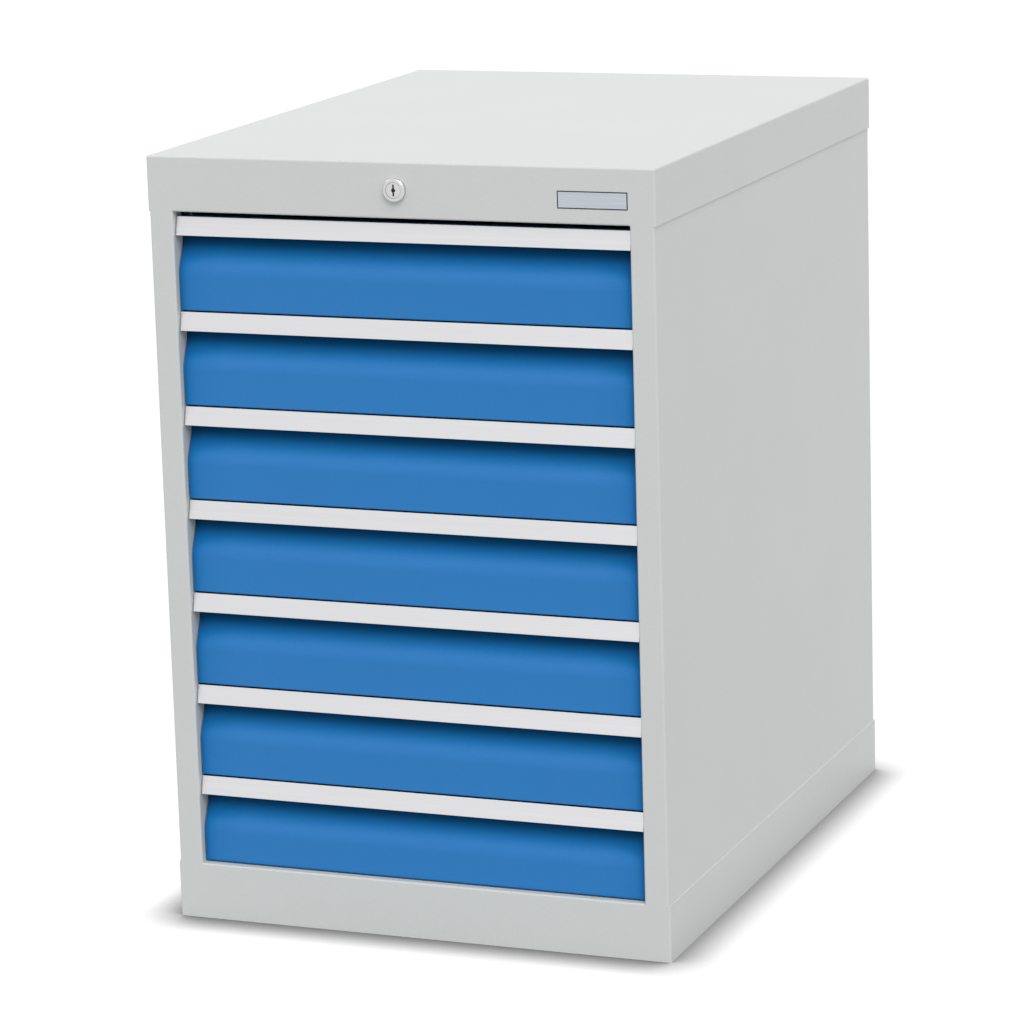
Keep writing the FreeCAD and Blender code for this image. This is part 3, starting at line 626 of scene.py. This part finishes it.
class CABINET_OT_finish_lock(bpy.types.Operator):
    """Gives the lock its satin nickel face and zinc-plated works"""

    bl_idname = "cabinet.finish_lock"
    bl_label = "Finish the lock"

    def execute(self, context):
        metals = context.scene.cabinet_metals
        dress(satin_nickel(metals, lock_axis()), *LOCK_FACE_NODES)
        dress(plated_zinc("bright_zinc_plate_lock_works", metals), *LOCK_STEEL_NODES)
        return {"FINISHED"}


# Operators: fittings


def lock_axis():
    """Middle of the lock's face."""
    low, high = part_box("lock_plug")
    return Vector(((low.x + high.x) / 2, low.y, (low.z + high.z) / 2))


class CABINET_OT_name_plate(bpy.types.Operator):
    """Finishes the bare name plate and fits the rubber ring round it"""

    bl_idname = "cabinet.name_plate"
    bl_label = "Fit the name plate's gasket"

    def execute(self, context):
        sizes = context.scene.cabinet_fittings
        plastics = context.scene.cabinet_plastics
        dress(bare_plate(plastics), "name_plate")
        low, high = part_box("name_plate")
        edge = sizes.plate_edge
        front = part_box("top_cap")[0].y - sizes.gasket_proud
        middle = ((low.x + high.x) / 2, front, (low.z + high.z) / 2)
        deselect_all()
        bpy.ops.mesh.primitive_plane_add(size=1, location=middle, rotation=(QUARTER_TURN, 0, 0))
        bpy.context.object.scale = (high.x - low.x - 2 * edge, high.z - low.z - 2 * edge, 1)
        gasket = start_piece("name_plate_gasket")
        bpy.ops.mesh.select_all(action="SELECT")
        bpy.ops.mesh.inset(thickness=sizes.gasket_width, depth=0)
        bpy.ops.mesh.delete(type="FACE")
        bpy.ops.mesh.select_all(action="SELECT")
        bpy.ops.mesh.extrude_region_move(TRANSFORM_OT_translate={"value": (0, sizes.gasket_depth, 0)})
        rounding = 0.25 * sizes.gasket_width
        end_piece(gasket, bevel=rounding, segments=3)
        gasket.data.materials.append(pitted_black("moulded_rubber_gasket", plastics.gasket, plastics))
        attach(gasket, "cabinet")
        return {"FINISHED"}


class CABINET_OT_key_shutter(bpy.types.Operator):
    """Fits the dust shutter behind the key slot, a near-black leaf that gives the slot painted shade"""

    bl_idname = "cabinet.key_shutter"
    bl_label = "Fit the key shutter"

    def execute(self, context):
        sizes = context.scene.cabinet_fittings
        plastics = context.scene.cabinet_plastics
        axis = lock_axis()
        front = axis.y + sizes.shutter_set
        reach = Vector((sizes.shutter_width / 2, 0, sizes.shutter_height / 2))
        back = Vector((0, sizes.shutter_width / 2, 0))
        middle = Vector((axis.x, front, axis.z))
        leaf = add_block("key_shutter", middle - reach, middle + reach + back)
        leaf_rim = 0.2 * sizes.shutter_width
        leaf_dish = 0.1 * sizes.shutter_width
        select_faces(lambda normal: normal.y < -ALONG)
        bpy.ops.mesh.inset(thickness=leaf_rim, depth=leaf_dish)
        end_piece(leaf)
        behind_leaf = middle + 1.5 * back
        deselect_all()
        bpy.ops.mesh.primitive_cylinder_add(vertices=ROUND, radius=sizes.shutter_boss / 2,
                                            depth=sizes.shutter_width / 2, rotation=(QUARTER_TURN, 0, 0),
                                            location=behind_leaf)
        boss = start_piece("key_shutter_boss")
        boss_rim = 0.15 * sizes.shutter_boss
        boss_dish = 0.1 * sizes.shutter_boss
        select_faces(lambda normal: normal.y < -ALONG)
        bpy.ops.mesh.inset(thickness=boss_rim, depth=-boss_dish)
        end_piece(boss)
        shutter = joined([leaf, boss], "key_shutter")
        # The leaf's near black is painted shade: it shows the key slot black, as its depth would.
        shutter.data.materials.append(pitted_black("blackened_spring_steel", plastics.shutter, plastics))
        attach(shutter, "lock_core")
        return {"FINISHED"}


def rail_buffer(name, low, high, facing):
    """Rubber block with a shallow hollow in the face that the roller meets: its back face where facing is 1,
    its front face where facing is -1."""
    width = high.x - low.x
    rim = 0.25 * width
    dish = 0.1 * width
    rounding = 0.12 * width
    block = add_block(name, low, high)
    select_faces(lambda normal: normal.y * facing > ALONG)
    bpy.ops.mesh.inset(thickness=rim, depth=-dish)
    return end_piece(block, bevel=rounding)


class CABINET_OT_rail_buffers(bpy.types.Operator):
    """Fits the rubber blocks that the rollers meet at both ends of each rail"""

    bl_idname = "cabinet.rail_buffers"
    bl_label = "Fit the rail buffers"

    def execute(self, context):
        sizes = context.scene.cabinet_fittings
        plastics = context.scene.cabinet_plastics
        rubber = pitted_black("moulded_rubber_buffer", plastics.buffer, plastics)
        roller_low, roller_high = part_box(DRAWERS[0] + "_rollers")
        rail_low, rail_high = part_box(DRAWERS[0] + "_rails")
        outer_x = roller_high.x - sizes.roller_width
        inner_x = rail_high.x - roller_edge_gap() - sizes.roller_width
        for row, x in (("inner", inner_x), ("outer", outer_x)):
            blocks = []
            for facing, y in ((1, rail_low.y), (-1, rail_high.y - sizes.buffer_length)):
                low = Vector((x, y, roller_low.z))
                high = Vector((x + sizes.roller_width, y + sizes.buffer_length, roller_high.z))
                right = rail_buffer("rail_buffer", low, high, facing)
                blocks += [right, copied(right, Vector((-low.x - high.x, 0, 0)))]
            for drawer in DRAWERS:
                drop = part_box(drawer + "_rollers")[0].z - roller_low.z
                self.fit(blocks, drop, rubber, drawer, row)
            for block in blocks:
                bpy.data.objects.remove(block)
        return {"FINISHED"}

    def fit(self, blocks, drop, rubber, drawer, row):
        """Copies the four blocks of one row to a drawer's level."""
        copies = [copied(block, Vector((0, 0, drop))) for block in blocks]
        piece = joined(copies, f"{drawer}_{row}_buffers")
        piece.data.materials.append(rubber)
        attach(piece, drawer if row == "inner" else "cabinet")


class CABINET_OT_weld_marks(bpy.types.Operator):
    """Marks the spot welds that hold each front to its tray"""

    bl_idname = "cabinet.weld_marks"
    bl_label = "Mark the spot welds"

    def execute(self, context):
        sizes = context.scene.cabinet_fittings
        radius = sizes.weld_diameter / 2
        thickness = 0.1 * radius
        rim = 0.3 * radius
        crown = 0.03 * radius
        ring = 0.15 * radius
        dent = 0.06 * radius
        rim_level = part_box(DRAWERS[0] + "_tray")[1].z
        wall = inner_face(DRAWERS[0] + "_tray")
        deselect_all()
        bpy.ops.mesh.primitive_cylinder_add(vertices=ROUND, radius=radius, depth=thickness,
                                            rotation=(QUARTER_TURN, 0, 0),
                                            location=(0, wall, rim_level - sizes.weld_set))
        mark = start_piece("weld_mark")
        select_faces(lambda normal: normal.y > ALONG)
        bpy.ops.mesh.inset(thickness=rim, depth=crown)
        bpy.ops.mesh.inset(thickness=ring, depth=-dent)
        end_piece(mark)
        start = -(sizes.weld_count - 1) / 2 * sizes.weld_pitch
        for drawer in DRAWERS:
            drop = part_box(drawer + "_tray")[1].z - rim_level
            marks = [copied(mark, Vector((start + k * sizes.weld_pitch, 0, drop)))
                     for k in range(sizes.weld_count)]
            piece = joined(marks, drawer + "_weld_marks")
            piece.data.materials.append(frame["nodes"][drawer + "_tray"].data.materials[0])
            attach(piece, drawer)
        bpy.data.objects.remove(mark)
        return {"FINISHED"}


def inner_face(node):
    """Y of the inner side of a tray's front wall: the second foremost level of its points."""
    levels = sorted({round(v.co.y, 5) for v in frame["nodes"][node].data.vertices})
    return levels[1]


# Operator: stage


class CABINET_OT_stage(bpy.types.Operator):
    """Builds the floor, the light and the camera"""

    bl_idname = "cabinet.stage"
    bl_label = "Build the stage"

    def execute(self, context):
        stage = context.scene.cabinet_stage
        self.floor(stage)
        self.sky(context.scene, stage)
        self.lamp("studio_lamp", stage.lamp, stage.lamp_tilt, stage.lamp_side, stage.lamp_spread)
        self.lamp("studio_back_lamp", stage.back_lamp, stage.back_tilt, stage.back_side, stage.lamp_spread)
        self.camera(context.scene, stage)
        context.scene.view_settings.view_transform = "Standard"
        return {"FINISHED"}

    def floor(self, stage):
        """A white studio floor that keeps a short soft shadow along the foot."""
        deselect_all()
        bpy.ops.mesh.primitive_plane_add(size=stage.floor_size, location=(0, 0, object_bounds()[0][2]))
        floor = bpy.context.object
        floor.name = "studio_floor"
        bpy.ops.object.transform_apply(location=True, rotation=True, scale=True)
        material = bpy.data.materials.new("studio_floor_white")
        material.use_nodes = True
        tree = material.node_tree
        tree.nodes.clear()
        # Painted shadow: ambient occlusion darkens the seen floor's glow along the foot; only the matt share
        # shows the lamps' real shadows.
        side, back, up = stage.shade_lean
        lean = add_node(tree, "ShaderNodeCombineXYZ", {"X": side, "Y": back, "Z": up})
        near = add_node(tree, "ShaderNodeAmbientOcclusion", {"Distance": stage.shade_reach,
                                                             "Normal": lean.outputs[0]}, samples=16)
        deep = add_node(tree, "ShaderNodeMath", {0: near.outputs["AO"], 1: stage.shade_depth},
                        operation="POWER")
        lit = add_node(tree, "ShaderNodeEmission", {"Color": deep.outputs[0], "Strength": stage.floor_glow})
        matt = add_node(tree, "ShaderNodeBsdfDiffuse", {"Color": shade(stage.floor_grey, 1)})
        seen = add_node(tree, "ShaderNodeMixShader", {0: stage.floor_matt, 1: lit.outputs[0],
                                                      2: matt.outputs[0]})
        both = add_node(tree, "ShaderNodeMixShader", {0: shown_rays(tree), 1: matt.outputs[0],
                                                      2: seen.outputs[0]})
        add_node(tree, "ShaderNodeOutputMaterial", {"Surface": both.outputs[0]})
        floor.data.materials.append(material)
        floor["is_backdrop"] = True

    def sky(self, scene, stage):
        """White wherever it is seen or mirrored, and a plain even light elsewhere."""
        scene.world = bpy.data.worlds.new("studio_sky")
        scene.world.use_nodes = True
        tree = scene.world.node_tree
        tree.nodes.clear()
        light = add_node(tree, "ShaderNodeBackground", {"Color": (1, 1, 1, 1), "Strength": stage.sky})
        backdrop = add_node(tree, "ShaderNodeBackground", {"Color": (1, 1, 1, 1), "Strength": 1.0})
        mixed = add_node(tree, "ShaderNodeMixShader", {0: shown_rays(tree), 1: light.outputs[0],
                                                       2: backdrop.outputs[0]})
        add_node(tree, "ShaderNodeOutputWorld", {"Surface": mixed.outputs[0]})

    def lamp(self, name, strength, tilt, side, spread):
        """A large soft lamp, far away."""
        deselect_all()
        bpy.ops.object.light_add(type="SUN", rotation=(tilt, 0, side))
        lamp = bpy.context.object
        lamp.name = name
        lamp.data.energy = strength
        lamp.data.angle = spread

    def camera(self, scene, stage):
        """The camera, looking slightly down at the front and the right side."""
        deselect_all()
        bpy.ops.object.camera_add(location=stage.camera_place)
        camera = bpy.context.object
        camera.name = "studio_camera"
        camera.data.lens = stage.camera_lens
        camera.data.sensor_width = SENSOR_WIDTH
        look = Vector(stage.camera_aim) - Vector(stage.camera_place)
        turn = look.to_track_quat("-Z", "Y").to_matrix() @ Matrix.Rotation(stage.camera_roll, 3, "Z")
        camera.rotation_euler = turn.to_euler()
        scene.camera = camera


def shown_rays(tree):
    """1 for rays that see the stage directly, in a mirror or through glass, and 0 for those that light
    things."""
    path = add_node(tree, "ShaderNodeLightPath")
    seen = add_node(tree, "ShaderNodeMath", {0: path.outputs["Is Camera Ray"],
                                             1: path.outputs["Is Glossy Ray"]}, operation="MAXIMUM")
    shown = add_node(tree, "ShaderNodeMath", {0: seen.outputs[0], 1: path.outputs["Is Transmission Ray"]},
                     operation="MAXIMUM")
    return shown.outputs[0]


class CABINET_PT_tools(bpy.types.Panel):
    """Lists the steps that finish the cabinet"""

    bl_idname = "CABINET_PT_tools"
    bl_label = "Drawer Cabinet"
    bl_space_type = "VIEW_3D"
    bl_region_type = "UI"
    bl_category = "Cabinet"

    def draw(self, context):
        for group_name in GROUPS:
            group = getattr(context.scene, group_name)
            for name in group.__annotations__:
                self.layout.prop(group, name)
        for step in STEPS:
            self.layout.operator(step.bl_idname)


GROUPS = {"cabinet_paints": CabinetPaints, "cabinet_metals": CabinetMetals,
          "cabinet_plastics": CabinetPlastics, "cabinet_fittings": CabinetFittings,
          "cabinet_stage": CabinetStage}
STEPS = (CABINET_OT_coat_housing, CABINET_OT_coat_drawers, CABINET_OT_finish_strips,
         CABINET_OT_finish_runners, CABINET_OT_finish_lock, CABINET_OT_name_plate, CABINET_OT_key_shutter,
         CABINET_OT_rail_buffers, CABINET_OT_weld_marks, CABINET_OT_stage)


def register():
    """Adds the property groups, the steps and the panel."""
    for name, group in GROUPS.items():
        bpy.utils.register_class(group)
        setattr(bpy.types.Scene, name, PointerProperty(type=group))
    for step in STEPS:
        bpy.utils.register_class(step)
    bpy.utils.register_class(CABINET_PT_tools)


def unregister():
    """Takes away all that register added."""
    bpy.utils.unregister_class(CABINET_PT_tools)
    for step in reversed(STEPS):
        bpy.utils.unregister_class(step)
    for name, group in GROUPS.items():
        delattr(bpy.types.Scene, name)
        bpy.utils.unregister_class(group)


def main():
    """Runs every step in order."""
    register()
    for step in STEPS:
        family, action = step.bl_idname.split(".")
        getattr(getattr(bpy.ops, family), action)()


if __name__ == "__main__":
    main()
